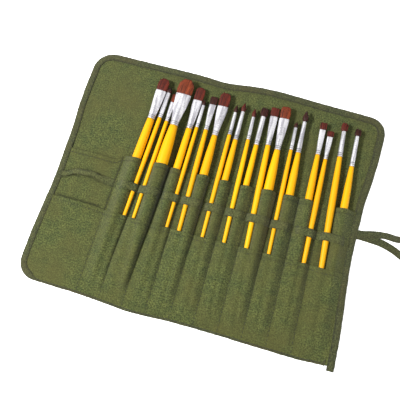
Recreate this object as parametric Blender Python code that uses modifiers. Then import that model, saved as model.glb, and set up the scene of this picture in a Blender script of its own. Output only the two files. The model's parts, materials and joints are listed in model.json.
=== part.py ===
"""Brush roll case: a flat canvas roll with two tiers of pockets, a loop band, two ties and twenty brushes.

The roll lies open on its back. X runs along the long side toward the ties, Y toward the brush heads,
Z up. Lengths below are millimetres and are turned into metres by MM.
"""

import math

import bmesh
import bpy
from mathutils import Matrix, Vector

MM = 0.001
GAP = 0.3  # left between neighbouring pieces

# the back panel and its binding
HALF_X = 153.0
HALF_Y = 124.0
PANEL_THICK = 1.2
BIND_THICK = 2.4
BIND_WIDTH = 7.0
CORNER_LEFT = 21.0
CORNER_RIGHT = 18.0

# the lines where the roll folds, from the tie end inward
FOLDS = [114.0, 90.6, 68.2, 43.6, 22.0, 0.4, -24.3, -41.6, -66.0, -92.0, -122.5]
FOLD_HEIGHT = 4.5  # the fold lines pass through the handles, so that the brushes keep their spacing
FOLD_CLEAR = 1.7  # the lower pockets stop this far from a fold line
STEP_BACK = 1.2  # the upper pockets stop this much sooner

# cloth layers
CLOTH = 0.7
UPPER_BASE = PANEL_THICK + GAP
LOWER_BASE = UPPER_BASE + CLOTH + GAP
HUG = 0.5  # between a handle and the cloth around it
OVER_CLOTH = HUG + CLOTH + 2 * GAP  # between an upper handle and the second layer of cloth over it
SHORTEST_FLAT = 1.8  # a flat stretch of cloth beside a bump is at least this long
TAIL_FADE = 12.0  # the cloth comes down to its base over this length past a handle's end
POCKET_FOOT = -121.5
LOWER_MOUTH = -38.0
POCKET_ROWS = [POCKET_FOOT, -114.0, -108.0, -102.0, -96.0, -85.0, -62.0, LOWER_MOUTH]
BAND_LOW = -13.0
BAND_HIGH = -5.0
WIDE_UPPER_MOUTH = 16.0

# ties: one strap sewn at its middle, with two tails
TIE_WIDTH = 7.0
TIE_HEIGHT = 3.8
TAIL = [(212, 36), (212, 70), (213, 106), (219, 126), (234, 134), (249, 126), (255, 106)]
TAIL += [(256, 76), (256, 44), (255, 14)]
TAIL_LEAN = 0.16  # the lower tail swings this much further out along its length

# each brush: tier, column from the left, x where it leaves its pocket, lean (degrees, head toward +X),
# tip y, ferrule top y, ferrule bottom y, then widths of hair, ferrule top, ferrule bottom and handle,
# and whether the ferrule is flat
BRUSHES = [
    ("upper", 1, -77.4, 2.5, 108.6, 94.8, 62.9, 11.0, 10.6, 7.1, 9.0, True),
    ("lower", 1, -71.4, 2.2, 101.0, 95.1, 67.0, 4.0, 4.1, 4.1, 4.5, False),
    ("lower", 2, -61.8, 1.3, 95.5, 86.4, 65.2, 5.0, 5.0, 3.8, 4.5, True),
    ("upper", 2, -50.7, 0.4, 112.7, 95.7, 61.5, 15.6, 15.4, 8.0, 12.0, True),
    ("upper", 3, -35.2, 0.2, 108.8, 94.4, 63.2, 9.4, 9.2, 5.8, 7.2, True),
    ("lower", 3, -27.5, -0.3, 97.2, 91.3, 66.8, 3.0, 3.1, 3.5, 4.1, False),
    ("lower", 4, -14.9, -1.8, 102.7, 94.0, 66.5, 6.6, 6.6, 4.1, 5.3, True),
    ("upper", 4, -7.4, -0.7, 109.3, 94.2, 62.6, 10.6, 10.6, 5.5, 8.6, True),
    ("lower", 5, 8.7, -1.5, 100.1, 92.1, 67.7, 3.0, 3.0, 3.8, 4.6, False),
    ("upper", 5, 14.3, -1.4, 103.9, 94.7, 64.1, 3.6, 3.2, 4.6, 6.6, False),
    ("lower", 6, 30.3, -2.7, 100.6, 92.1, 67.6, 3.2, 3.0, 3.6, 4.8, False),
    ("upper", 6, 35.7, -1.5, 103.9, 94.7, 64.3, 6.0, 4.6, 4.5, 6.0, False),
    ("lower", 7, 52.5, -3.6, 107.0, 97.5, 66.8, 7.4, 7.4, 5.0, 6.0, True),
    ("upper", 7, 57.8, -2.6, 110.1, 97.1, 64.0, 9.6, 9.6, 5.6, 9.4, True),
    ("lower", 8, 74.4, -3.0, 98.0, 92.1, 68.3, 3.0, 3.0, 3.5, 4.5, False),
    ("upper", 8, 78.9, -3.2, 110.8, 99.7, 66.8, 4.0, 3.4, 4.7, 8.0, False),
    ("upper", 9, 97.6, -3.0, 103.9, 96.3, 70.0, 5.6, 5.6, 4.4, 7.2, True),
    ("lower", 9, 108.3, -2.6, 97.1, 91.0, 67.4, 5.3, 5.3, 3.7, 5.4, True),
    ("lower", 10, 125.2, -4.6, 109.0, 100.1, 73.5, 5.0, 3.7, 4.7, 6.6, False),
    ("upper", 10, 132.1, -3.3, 106.1, 98.3, 66.8, 4.6, 3.4, 4.4, 7.6, False),
]
UPPER_END = -95.0  # where the handles of each tier end, down in the pocket
LOWER_END = -100.0
WIDEST = 22.0  # the handle's thickest place
SIDES = 12


class Brush:
    """One brush's place and shape, with its axis as a line through the roll."""

    def __init__(self, number, values):
        tier, column, x, lean, tip, top, bottom, hair, wide, narrow, handle, flat = values
        self.name = f"brush_{number:02d}"
        self.upper = tier == "upper"
        self.column = column
        self.end = UPPER_END if self.upper else LOWER_END
        self.mouth = upper_mouth(column) if self.upper else LOWER_MOUTH
        self.x = x
        self.slope = math.tan(math.radians(lean))
        self.tip, self.top, self.bottom = tip, top, bottom
        self.hair, self.wide, self.narrow = hair / 2, wide / 2, narrow / 2
        self.radius = handle / 2
        self.tail = self.radius * 0.5
        self.flat = flat
        base = PANEL_THICK if self.upper else UPPER_BASE + CLOTH
        low = base + HUG + self.tail
        high = base + HUG + self.radius
        self.rise = (high - low) / (WIDEST - self.end)
        self.z = low + self.rise * (self.mouth - self.end)

    def axis(self, y):
        """The x and z of the brush's axis where it passes y."""
        return self.x + self.slope * (y - self.mouth), self.z + self.rise * (y - self.mouth)

    def handle_radius(self, y):
        """The handle's radius at y: thin at the tail, thickest near the pocket's mouth."""
        if y < self.end:
            return 0.0
        if y < WIDEST:
            t = (y - self.end) / (WIDEST - self.end)
            return self.tail + (self.radius - self.tail) * t
        t = (y - WIDEST) / (self.bottom - WIDEST)
        return self.radius + (self.narrow - self.radius) * t * t


def upper_mouth(column):
    """The upper pockets' top edge, a little higher toward the ties."""
    return 20.0 if column < 7 else 24.0


def column_span(column):
    """The x of a column's left and right fold lines; column 10 ends at the binding."""
    folds = FOLDS[9::-1]
    right = folds[column] if column < 10 else HALF_X - BIND_WIDTH + FOLD_CLEAR - 0.6
    return folds[column - 1], right


def make_material(name, colour, roughness, metallic=0.0):
    material = bpy.data.materials.new(name)
    material.use_nodes = True
    shader = material.node_tree.nodes["Principled BSDF"]
    shader.inputs["Base Color"].default_value = (*colour, 1.0)
    shader.inputs["Roughness"].default_value = roughness
    shader.inputs["Metallic"].default_value = metallic
    return material


def add_object(name, mesh, material, group):
    thing = bpy.data.objects.new(name, mesh)
    if material:
        mesh.materials.append(material)
    group.objects.link(thing)
    return thing


def arc(cx, cy, radius, start, end, steps=8):
    """Points of an arc, its angles in degrees."""
    points = []
    for i in range(steps + 1):
        a = math.radians(start + (end - start) * i / steps)
        points.append((cx + radius * math.cos(a), cy + radius * math.sin(a)))
    return points


def rounded_outline(inset, low):
    """The panel's outline, moved in by inset, down to y = low.

    It is round at the top corners, and at the bottom left one where it isn't moved in.
    """
    x, y = HALF_X - inset, HALF_Y - inset
    right, left = CORNER_RIGHT - inset, CORNER_LEFT - inset
    points = [(x, low)]
    points += arc(x - right, y - right, right, 0, 90)
    points += arc(left - x, y - left, left, 90, 180)
    if inset:
        return points + [(-x, low)]
    return points + arc(left - x, low + left, left, 180, 270)


def prism(name, outline, low, high, group):
    """A closed mesh object: a flat outline between two heights, made from a filled curve."""
    curve = bpy.data.curves.new(name, "CURVE")
    curve.dimensions = "2D"
    curve.fill_mode = "BOTH"
    curve.extrude = (high - low) / 2 * MM
    spline = curve.splines.new("POLY")
    spline.points.add(len(outline) - 1)
    for point, (x, y) in zip(spline.points, outline):
        point.co = (x * MM, y * MM, 0, 1)
    spline.use_cyclic_u = True
    shape = bpy.data.objects.new(name, curve)
    group.objects.link(shape)
    shape.location.z = (low + high) / 2 * MM
    bpy.context.view_layer.update()
    mesh = bpy.data.meshes.new_from_object(shape.evaluated_get(bpy.context.evaluated_depsgraph_get()))
    matrix = shape.matrix_world.copy()
    bpy.data.objects.remove(shape)
    work = bmesh.new()
    work.from_mesh(mesh)
    bmesh.ops.remove_doubles(work, verts=work.verts, dist=0.001 * MM)
    work.to_mesh(mesh)
    work.free()
    solid = add_object(name, mesh, None, group)
    solid.matrix_world = matrix
    return solid


def box_mesh(name, low, high):
    mesh = bpy.data.meshes.new(name)
    work = bmesh.new()
    centre = [(a + b) / 2 * MM for a, b in zip(low, high)]
    size = [(b - a) * MM for a, b in zip(low, high)]
    place = Matrix.Translation(centre) @ Matrix.Diagonal((*size, 1))
    bmesh.ops.create_cube(work, size=1, matrix=place)
    work.to_mesh(mesh)
    work.free()
    return mesh


def combine(thing, other, operation):
    """Cut a piece by another, join it to another, or keep what they share."""
    step = thing.modifiers.new(other.name, "BOOLEAN")
    step.operation = operation
    step.solver = "EXACT"
    step.object = other


def hide(thing):
    thing.hide_render = True
    thing.display_type = "WIRE"


def convex(points):
    """The convex hull of flat points, counterclockwise."""
    points = sorted(set(points))

    def half(run):
        chain = []
        for p in run:
            while len(chain) > 1 and turn(chain[-2], chain[-1], p) <= 0:
                chain.pop()
            chain.append(p)
        return chain[:-1]

    return half(points) + half(points[::-1])


def turn(a, b, c):
    return (b[0] - a[0]) * (c[1] - a[1]) - (b[1] - a[1]) * (c[0] - a[0])


def even_steps(chain, count):
    """count + 1 points spread evenly along a chain of points."""
    lengths = [math.dist(a, b) for a, b in zip(chain, chain[1:])]
    total = sum(lengths)
    points = [chain[0]]
    for i in range(1, count):
        rest = total * i / count
        k = 0
        while rest > lengths[k]:
            rest -= lengths[k]
            k += 1
        t = rest / lengths[k]
        points.append(tuple(p + (q - p) * t for p, q in zip(chain[k], chain[k + 1])))
    return points + [chain[-1]]


def section(circles, left, right, base, spread, count=10):
    """Where cloth lies over round things: flat on its base, pulled tight over them, and flat again."""
    if not circles:
        return even_steps([(left, base), (right, base)], count + 2)
    foot_left = min(x - r for x, z, r in circles) - spread
    foot_right = max(x + r for x, z, r in circles) + spread
    start, end = [], []
    if foot_left < left + SHORTEST_FLAT:
        foot_left = left
    else:
        start = [(left, base)]
    if foot_right > right - SHORTEST_FLAT:
        foot_right = right
    else:
        end = [(right, base)]
    points = [(foot_left, base), (foot_right, base)]
    for x, z, r in circles:
        for i in range(25):
            a = math.radians(-25 + 230 * i / 24)
            points.append((x + r * math.cos(a), z + r * math.sin(a)))
    hull = convex([p for p in points if p[1] >= base])
    first = hull.index((foot_right, base))
    chain = (hull[first:] + hull[:first])[::-1]
    return start + even_steps(chain, count + 2 - len(start) - len(end)) + end


def cloth_piece(name, rows, material, group):
    """A sheet of cloth through rows of points, thickened away from what it covers."""
    across, along = len(rows[0][1]), len(rows)
    work = bmesh.new()
    bmesh.ops.create_grid(work, x_segments=across - 1, y_segments=along - 1, size=0.5)
    for vertex in work.verts:
        i = round((vertex.co.x + 0.5) * (across - 1))
        j = round((vertex.co.y + 0.5) * (along - 1))
        y, points = rows[j]
        vertex.co = Vector((points[i][0], y, points[i][1])) * MM
    mesh = bpy.data.meshes.new(name)
    work.to_mesh(mesh)
    work.free()
    piece = add_object(name, mesh, material, group)
    thick = piece.modifiers.new("thickness", "SOLIDIFY")
    thick.thickness = CLOTH * MM
    thick.offset = 1.0
    return piece


def spread_rows(low, high, count):
    return [low + (high - low) * i / count for i in range(count + 1)]


def ends_of(column, clear):
    left, right = column_span(column)
    return left + clear, right - clear


def circles_over(brushes, column, y, base, upper_extra, lower_extra):
    """The handles of a column at y, grown by what lies between them and the cloth.

    Past a handle's end its circle sinks until the cloth lies flat on its base again.
    """
    circles = []
    for brush in brushes:
        extra = upper_extra if brush.upper else lower_extra
        fade = min(1.0, 1 - (brush.end - 2 - y) / TAIL_FADE)
        if brush.column != column or not extra or fade <= 0:
            continue
        x, z = brush.axis(y)
        flat = base - extra
        circles.append((x, flat + (z - flat) * fade, extra + brush.handle_radius(max(y, brush.end)) * fade))
    return circles


def upper_pocket(brushes, column, material, group):
    """One column of the upper tier, with the stretch of loop band that is sewn across it."""
    left, right = ends_of(column, FOLD_CLEAR + STEP_BACK)
    rows = []
    for y in POCKET_ROWS + spread_rows(LOWER_MOUTH, upper_mouth(column), 3)[1:]:
        circles = circles_over(brushes, column, y, UPPER_BASE, HUG, 0)
        rows.append((y, section(circles, left, right, UPPER_BASE, 0.8)))
    return cloth_piece(f"upper_pocket_{column:02d}", rows, material, group)


def band_loop(brushes, column, material, group):
    left, right = ends_of(column, FOLD_CLEAR + STEP_BACK + GAP)
    rows = []
    for y in (BAND_LOW, BAND_HIGH):
        circles = circles_over(brushes, column, y, LOWER_BASE, OVER_CLOTH, HUG)
        rows.append((y, section(circles, left, right, UPPER_BASE + CLOTH / 2, 2.0)))
    return cloth_piece(f"band_{column:02d}", rows, material, group)


def lower_pocket(brushes, column, material, group):
    left, right = ends_of(column, FOLD_CLEAR)
    rows = []
    for y in POCKET_ROWS:
        circles = circles_over(brushes, column, y, LOWER_BASE, OVER_CLOTH, HUG)
        rows.append((y, section(circles, left, right, LOWER_BASE, 3.0)))
    return cloth_piece(f"lower_pocket_{column:02d}", rows, material, group)


def flat_cloth(name, left, right, low, high, base, material, group):
    rows = [(y, even_steps([(left, base), (right, base)], 4)) for y in (low, high)]
    return cloth_piece(name, rows, material, group)


def brush_stations(brush):
    """The brush's length along y as stations: y, half width across the roll, half height."""
    thin = 0.42 if brush.flat else 1.0
    stations = [(brush.end, brush.tail * 0.45, brush.tail * 0.45)]
    for y in spread_rows(brush.end + 1.5, WIDEST, 4) + spread_rows(WIDEST, brush.bottom, 2)[1:]:
        stations.append((y, brush.handle_radius(y), brush.handle_radius(y)))
    height = max(1.0, brush.wide * thin) if brush.flat else brush.wide
    stations.append((brush.top, brush.wide, height))
    length = brush.tip - brush.top
    stations.append((brush.top + length * 0.45, brush.hair, height * 0.95))
    stations.append((brush.tip, brush.hair * 0.4, height * 0.3))
    return stations


def make_brush(brush, material, group):
    """A brush as one solid: a loft through its stations, along its own axis."""
    work = bmesh.new()
    rings = []
    for y, half_width, half_height in brush_stations(brush):
        ring = []
        for i in range(SIDES):
            a = 2 * math.pi * i / SIDES
            place = (half_width * math.cos(a), y - brush.mouth, half_height * math.sin(a))
            ring.append(work.verts.new(Vector(place) * MM))
        rings.append(ring)
    for first, second in zip(rings, rings[1:]):
        for i in range(SIDES):
            j = (i + 1) % SIDES
            work.faces.new((first[i], second[i], second[j], first[j]))
    work.faces.new(rings[0])
    work.faces.new(rings[-1][::-1])
    bmesh.ops.recalc_face_normals(work, faces=work.faces)
    mesh = bpy.data.meshes.new(brush.name)
    work.to_mesh(mesh)
    work.free()
    thing = add_object(brush.name, mesh, material, group)
    thing.location = Vector((brush.x, brush.mouth, brush.z)) * MM
    thing.rotation_euler = (math.atan(brush.rise), 0, -math.atan(brush.slope))
    return thing


def make_tie(name, side, material, group):
    """One tail of the strap as a plain tube as wide as the strap, out to its end."""
    start = 3.6 + side * (TIE_WIDTH / 2 + GAP)
    route = [(HALF_X + GAP, start), (175, 5.5 + side * 4.2), (190, 3.6 + side * 7)]
    route += [(204, 3 + side * 15)]
    for x, y in TAIL:
        away = TAIL_LEAN * max(0, y - 34) if side < 0 else 0
        route.append((x + away, y * side))
    curve = bpy.data.curves.new(name, "CURVE")
    curve.dimensions = "3D"
    curve.bevel_depth = TIE_WIDTH / 2 * MM
    curve.bevel_resolution = 2
    curve.use_fill_caps = True
    points = smooth_points(route, 3)
    spline = curve.splines.new("POLY")
    spline.points.add(len(points) - 1)
    for point, (x, y) in zip(spline.points, points):
        point.co = (x * MM, y * MM, TIE_HEIGHT * MM, 1)
    curve.materials.append(material)
    tie = bpy.data.objects.new(name, curve)
    group.objects.link(tie)
    return tie


def smooth_points(route, steps):
    """A Catmull-Rom curve through the route's own points."""
    padded = [route[0]] + route + [route[-1]]
    points = []
    for a, b, c, d in zip(padded, padded[1:], padded[2:], padded[3:]):
        for i in range(steps):
            t = i / steps
            place = []
            for p, q, r, s in zip(a, b, c, d):
                curve = 2 * q + (r - p) * t + (2 * p - 5 * q + 4 * r - s) * t**2
                place.append((curve + (3 * q - p - 3 * r + s) * t**3) / 2)
            points.append(tuple(place))
    return points + [route[-1]]


def main():
    for thing in list(bpy.data.objects):
        bpy.data.objects.remove(thing)
    parts = bpy.data.collections.new("brush_roll_case")
    cutters = bpy.data.collections.new("cutters")
    for group in (parts, cutters):
        bpy.context.scene.collection.children.link(group)

    canvas = make_material("canvas", (0.115, 0.125, 0.045), 0.95)
    band_cloth = make_material("band_canvas", (0.105, 0.115, 0.042), 0.95)
    strap = make_material("strap_canvas", (0.095, 0.1, 0.04), 0.95)
    lacquer = make_material("yellow_lacquer", (0.9, 0.55, 0.01), 0.3)

    outline = prism("panel_outline", rounded_outline(0, -HALF_Y), -1, 4, cutters)
    inner = prism("binding_inside", rounded_outline(BIND_WIDTH, -HALF_Y - 5), PANEL_THICK, 5, cutters)
    hide(outline)
    hide(inner)

    edges = [HALF_X + 1] + FOLDS + [-HALF_X - 1]
    for number, (right, left) in enumerate(zip(edges, edges[1:])):
        name = f"panel_{number:02d}"
        low = (left + GAP / 2, -HALF_Y, 0)
        high = (right - GAP / 2, HALF_Y, BIND_THICK)
        panel = add_object(name, box_mesh(name, low, high), canvas, parts)
        if number in (0, len(edges) - 2):
            combine(panel, outline, "INTERSECT")
        combine(panel, inner, "DIFFERENCE")

    brushes = [Brush(number + 1, values) for number, values in enumerate(BRUSHES)]
    for column in range(1, 11):
        pocket = upper_pocket(brushes, column, canvas, parts)
        loop = band_loop(brushes, column, band_cloth, cutters)
        hide(loop)
        combine(pocket, loop, "UNION")
        lower_pocket(brushes, column, canvas, parts)
    for brush in brushes:
        make_brush(brush, lacquer, parts)

    inner_left = -HALF_X + BIND_WIDTH + 0.5
    spans = [(FOLDS[10] + FOLD_CLEAR, FOLDS[9] - FOLD_CLEAR), (inner_left, FOLDS[10] - FOLD_CLEAR)]
    for number, (left, right) in enumerate(spans):
        flat_cloth(f"wide_upper_{number}", left, right, POCKET_FOOT, WIDE_UPPER_MOUTH, UPPER_BASE, canvas, parts)
        flat_cloth(f"wide_lower_{number}", left, right, POCKET_FOOT, LOWER_MOUTH, LOWER_BASE, canvas, parts)
        flat_cloth(f"band_free_{number}", left, right, BAND_LOW - 1, BAND_HIGH - 1, LOWER_BASE, band_cloth, parts)

    make_tie("tie_upper", 1, strap, parts)
    make_tie("tie_lower", -1, strap, parts)


main()
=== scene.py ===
"""Looks for the brush roll case: canvas, stitches, brushes and ties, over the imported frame.

Everything is in metres in the frame's axes: X toward the ties, Y toward the brush heads, Z up.
Names in capitals are millimetres unless they say otherwise, and MM turns them into metres.
"""

import json
import math

import bmesh
import bpy
from mathutils import Matrix, Vector, noise

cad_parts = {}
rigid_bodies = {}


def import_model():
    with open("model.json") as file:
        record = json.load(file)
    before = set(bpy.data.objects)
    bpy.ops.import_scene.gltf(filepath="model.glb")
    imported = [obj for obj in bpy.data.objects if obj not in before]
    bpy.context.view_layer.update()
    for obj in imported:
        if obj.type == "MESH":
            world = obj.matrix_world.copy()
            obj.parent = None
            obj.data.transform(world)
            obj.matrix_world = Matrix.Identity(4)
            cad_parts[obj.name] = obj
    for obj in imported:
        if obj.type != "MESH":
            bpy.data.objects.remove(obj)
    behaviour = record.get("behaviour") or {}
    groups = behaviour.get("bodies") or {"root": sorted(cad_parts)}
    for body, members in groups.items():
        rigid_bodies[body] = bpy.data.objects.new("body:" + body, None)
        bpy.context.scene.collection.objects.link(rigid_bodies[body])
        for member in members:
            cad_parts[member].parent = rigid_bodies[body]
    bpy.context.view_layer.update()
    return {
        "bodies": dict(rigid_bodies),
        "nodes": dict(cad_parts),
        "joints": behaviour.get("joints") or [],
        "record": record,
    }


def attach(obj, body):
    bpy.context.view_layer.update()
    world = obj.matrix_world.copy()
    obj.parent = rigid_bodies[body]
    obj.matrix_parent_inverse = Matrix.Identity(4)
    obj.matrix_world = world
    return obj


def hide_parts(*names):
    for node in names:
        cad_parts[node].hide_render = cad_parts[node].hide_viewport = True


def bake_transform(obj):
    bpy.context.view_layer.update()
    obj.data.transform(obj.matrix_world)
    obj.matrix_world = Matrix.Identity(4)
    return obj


MM = 0.001

# camera: a 54 mm lens above the roll, leaning a little from the tie end
CAMERA_PLACE = (0.0733, -0.1213, 0.5759)
CAMERA_AXIS = (-0.131, 0.199, -0.971)
CAMERA_UP = (-0.26, 0.94, 0.23)
LENS = 54.0

# cloth layers, from the table up
PANEL_LOW = 0.1
PANEL_TOP = 1.15
CLOTH = 0.6
UPPER_BASE = 1.45
LOWER_BASE = 2.35
BAND_BASE = 2.3
BIND_WIDTH = 7.0
HUG = 0.35  # between a handle and the cloth pulled over it
FOOT = -121.0  # the pocket layers end here, tucked over the fold
UPPER_MOUTH = (14.6, 20.0, 24.5)  # at the wide pocket, the left columns and the tie end
LOWER_MOUTH = (-37.5, -39.0, -36.5)
BAND_WIDTH = 8.0
BAND_LIFT = 3.2  # how far the free stretch stands up over the wide pocket

# seams between the columns
FIRST_SEAM = -92.0
SEAM_STEP = 22.7
SEAMS = 10
STITCH = 2.9
STITCH_GAP = 1.3
THREAD = 0.56
STITCH_SHAPE = [(0.0, -0.28, 0.6), (0.16, 0.02, 1.0), (0.5, 0.1, 1.1), (0.84, 0.02, 1.0), (1.0, -0.28, 0.6)]
HEM = 4.6  # from a layer's mouth down to its line of stitches
SEAM_FOOT = -96.0  # below this a seam is kept clear of the handles as they are here
SEAM_HEAD = 20.0  # and so above this
HANDLE_GAP = 1.5  # between a seam and the handle beside it

TIE_WIDTH = 7.4
TIE_THICK = 1.1
TAIL = [(212, 36), (212, 70), (213, 106), (219, 126), (234, 134), (249, 126), (255, 106)]
TAIL += [(256, 76), (256, 44), (255, 14)]
TAIL_LEAN = 0.16  # the lower tail swings this much further out along its length

# handles
TAPER = 0.5  # their radius at their ends, as a share of the CAD's
TAPER_LENGTH = 62.0  # from a handle's end to where its radius is the CAD's

SHARP = 50.0  # degrees: an edge that turns more than this isn't shaded as smooth

# ---------------------------------------------------------------- the frame


def bodies_in_order(frame):
    """The strips' bodies from the tie end inward, and the x of each fold in millimetres."""
    folds = [j for j in frame["joints"] if j["name"].startswith("fold_")]
    folds.sort(key=lambda j: j["name"])
    order = [folds[0]["parent"]] + [j["child"] for j in folds]
    return order, [j["pos_m"][0] / MM for j in folds]


class Brush:
    """A brush as the frame holds it: its axis, and its half widths and half heights along it."""

    def __init__(self, frame, joint):
        self.body = joint["child"]
        self.home = joint["parent"]
        self.number = int(self.body[-2:])
        self.axis = Vector(joint["axis"]).normalized()
        points = [v.co.copy() for v in frame["nodes"][self.body].data.vertices]
        points.sort(key=lambda p: p.dot(self.axis))
        rings = [[points[0]]]
        for p in points[1:]:
            if (p - rings[-1][0]).dot(self.axis) > 0.4 * MM:
                rings.append([])
            rings[-1].append(p)
        self.end = sum(rings[0], Vector()) / len(rings[0])
        self.side = self.axis.cross(Vector((0, 0, 1))).normalized()
        self.up = self.side.cross(self.axis).normalized()
        self.stations = []
        for ring in rings:
            along = sum((p - self.end).dot(self.axis) for p in ring) / len(ring)
            width = max(abs((p - self.end).dot(self.side)) for p in ring)
            height = max(abs((p - self.end).dot(self.up)) for p in ring)
            self.stations.append((along / MM, width / MM, height / MM))
        self.tip = self.stations[-1][0]
        self.ferrule_low, self.ferrule_top, self.hair = self.stations[-4:-1]
        self.flat = self.ferrule_top[2] < self.ferrule_top[1] * 0.8
        self.upper = joint["range_m"][1] > 0.09

    def place(self, along, across, height):
        """A point in millimetres along, across and above the brush's axis, as a point in the frame."""
        return self.end + (self.axis * along + self.side * across + self.up * height) * MM

    def at(self, y):
        """The axis's x and z where it passes y, and the handle's radius there."""
        along = (y * MM - self.end.y) / self.axis.y
        p = self.end + self.axis * along
        return p.x / MM, p.z / MM, self.radius(along / MM)

    def radius(self, along):
        """The handle's radius, in millimetres, that far from its end: 0 before the end.

        It follows the CAD, except that it tapers more toward its end, which the pockets hide.
        """
        if along < 0:
            return 0.0
        for (a, ra, _), (b, rb, _) in zip(self.stations, self.stations[1:-3]):
            if along <= b:
                taper = mix(TAPER, 1.0, smooth(along / TAPER_LENGTH))
                return (ra + (rb - ra) * (along - a) / (b - a)) * taper
        return self.ferrule_low[1]


# ---------------------------------------------------------------- small helpers


def smooth(t):
    t = min(1.0, max(0.0, t))
    return t * t * (3 - 2 * t)


def mix(a, b, t):
    return a + (b - a) * t


def arch(x, left, right):
    """0 at the seams left and right of x, and 1 halfway between them."""
    return math.sin(math.pi * (x - left) / (right - left)) ** 2


def slack(x, left, right):
    """0 at the seams, and 1 from 4 mm inside them."""
    return max(0.0, min(1.0, (x - left) / 4, (right - x) / 4))


def squared(value, power):
    """A sine or cosine bent toward a square wave by a power under 1, with its sign kept."""
    return math.copysign(abs(value) ** power, value)


def wobble(x, y, size, seed):
    """Smooth noise from -1 to 1 over the roll, with the given size in millimetres."""
    return noise.noise(Vector((x / size, y / size, seed)))


def new_object(name, mesh, material=None):
    thing = bpy.data.objects.new(name, mesh)
    bpy.context.scene.collection.objects.link(thing)
    if material:
        mesh.materials.append(material)
    return thing


def finish_mesh(work, name, material):
    mesh = bpy.data.meshes.new(name)
    bmesh.ops.recalc_face_normals(work, faces=work.faces)
    work.to_mesh(mesh)
    work.free()
    mesh.shade_smooth()
    return new_object(name, mesh, material)


def loft(work, rings, closed=True):
    """Faces from each ring of points to the next, and over both ends if it is closed."""
    for first, second in zip(rings, rings[1:]):
        for i in range(len(first)):
            j = (i + 1) % len(first)
            work.faces.new((first[i], first[j], second[j], second[i]))
    if closed:
        work.faces.new(rings[0])
        work.faces.new(rings[-1][::-1])


# ---------------------------------------------------------------- outline and seams


def edge_left(y):
    """The left edge's x at height y: nearly straight at the top and flaring toward the foot."""
    return -153.2 - 4.6 * smooth((-y - 5) / 95) - 1.4 * smooth((y - 30) / 35) * smooth((112 - y) / 40)


def edge_right(y):
    return 150.6 + 3.6 * smooth((y - 30) / 55) + 7.6 * smooth((-y - 2) / 118) ** 1.1


def edge_top(x):
    wave = 2.6 * math.exp(-(((x - 40) / 42) ** 2)) - 2.2 * math.exp(-(((x + 12) / 20) ** 2))
    return 124.4 + wave - 0.8 * smooth((x - 110) / 30)


def edge_foot(x):
    return -124.2 - 2.6 * math.exp(-(((x + 40) / 34) ** 2)) + 1.6 * smooth((x - 120) / 30)


def seam_slope(k):
    return 0.022 - 0.062 * k / (SEAMS - 1)


class Layout:
    """Where the seams run, given the handles that they have to pass between."""

    def __init__(self, brushes):
        self.columns = [[] for _ in range(SEAMS + 1)]
        for brush in brushes:
            home = brush.home
            column = 10 if home == "tie_end" else int(home[-2:])
            self.columns[column].append(brush)

    def seam(self, k, y):
        """The x of seam k at y, kept clear of the handles on both sides of it."""
        x = FIRST_SEAM + SEAM_STEP * k + seam_slope(k) * y
        y = min(max(y, SEAM_FOOT), SEAM_HEAD)
        low = [x0 + r + HANDLE_GAP for x0, _, r in (b.at(y) for b in self.columns[k])]
        high = [x0 - r - HANDLE_GAP for x0, _, r in (b.at(y) for b in self.columns[k + 1])]
        lowest, highest = max(low, default=-999), min(high, default=999)
        if lowest > highest:
            return (lowest + highest) / 2
        return min(max(x, lowest), highest)


# ---------------------------------------------------------------- cloth shapes


def tent(dx, radius, rise, foot):
    """Height of cloth pulled over a round thing of that radius, its centre at rise, down to a foot."""
    foot = max(foot, radius + 0.25)
    root = math.sqrt(max(0.0, foot * foot + rise * rise - radius * radius))
    slope = (foot * rise + radius * root) / (foot * foot - radius * radius)
    touch = slope * radius / math.sqrt(1 + slope * slope)
    dx = abs(dx)
    if dx < touch:
        return rise + math.sqrt(radius * radius - dx * dx)
    return max(0.0, slope * (foot - dx))


def bump(x, discs, left, right, base, spread, near=None):
    """Height over base of cloth laid over discs between two seams, clear of the disc near it."""
    height = 0.0
    for cx, cz, r in discs:
        side = (right - cx) if x > cx else (cx - left)
        foot = min(side, r + spread)
        if near and (near[0] - cx) * (x - cx) > 0:
            foot = min(foot, abs(near[0] - cx) - near[2] * 0.55)
        height = max(height, tent(x - cx, r, cz - base, foot))
    return height


def disc(brush, y, grow, base):
    """A handle's disc at y, grown by the cloth's clearance. Past the handle's end it sinks away."""
    end = brush.end.y / MM
    x, z, r = brush.at(max(y, end + 1))
    fade = smooth(1 - (end - 1 - y) / 19)
    if fade <= 0:
        return None
    z = mix(base - grow, z, fade)
    return x + (brush.axis.x / brush.axis.y) * min(0.0, y - end), z, grow + r * fade


def between(a, b, sag):
    """Discs that bridge two others, with a little sag, so that cloth runs from one to the other."""
    if not a or not b:
        return [d for d in (a, b) if d]
    found = [a, b]
    for i in range(1, 6):
        t = i / 6
        drop = sag * math.sin(math.pi * t)
        found.append((mix(a[0], b[0], t), mix(a[1], b[1], t) - drop, mix(a[2], b[2], t)))
    return found


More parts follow.
